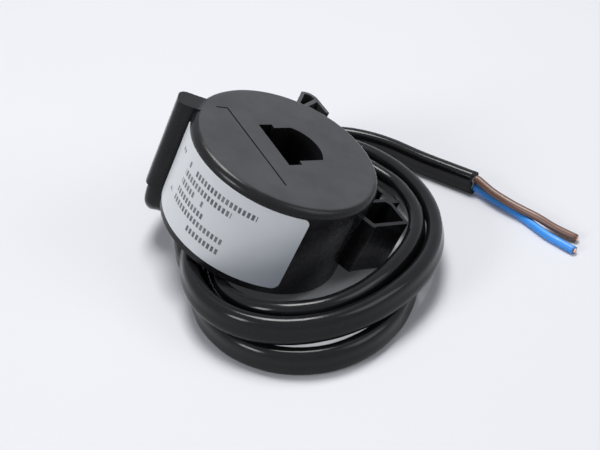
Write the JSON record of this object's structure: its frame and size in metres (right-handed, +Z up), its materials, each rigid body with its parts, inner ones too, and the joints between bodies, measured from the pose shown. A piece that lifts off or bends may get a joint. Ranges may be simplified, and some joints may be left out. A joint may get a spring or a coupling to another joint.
{
  "type": "current transformer",
  "caption": "Tilted drum-shaped ring-core current transformer with a shaped window, a pocketed side foot and a coiled flat two-core lead.",
  "frame": {"origin": "on the floor, under the centre of the housing's box, lead left out", "axes": "+Z up, +X along the housing's longest side, from the cable outlet towards the foot, +Y from the label towards the far end of the foot"},
  "size_m": [0.0988, 0.085, 0.0381],
  "materials": {
    "black_moulding": "satin",
    "cover_plastic": "satin",
    "label_film": "satin",
    "core_metal": "satin",
    "case_plastic": "satin",
    "enamelled_copper": "gloss",
    "tape_film": "gloss",
    "potting_resin": "satin",
    "sleeve_plastic": "satin",
    "black_jacket": "satin",
    "brown_insulation": "gloss",
    "blue_insulation": "gloss",
    "copper_strand": "satin"
  },
  "bodies": {
    "root": {"housing_shell": "black_moulding", "bottom_cover": "cover_plastic", "side_label": "label_film", "magnetic_core": "core_metal", "core_case_cup": "case_plastic", "core_case_lid": "case_plastic", "secondary_winding": "enamelled_copper", "winding_tape": "tape_film", "potting_compound": "potting_resin", "winding_start_end": "enamelled_copper", "winding_finish_end": "enamelled_copper", "splice_sleeve_brown": "sleeve_plastic", "splice_sleeve_blue": "sleeve_plastic", "cable_lead_in": "black_jacket", "cable_coil": "black_jacket", "cable_tail": "black_jacket", "wire_brown": "brown_insulation", "wire_blue": "blue_insulation", "conductor_brown": "copper_strand", "conductor_blue": "copper_strand"}
  },
  "joints": []
}
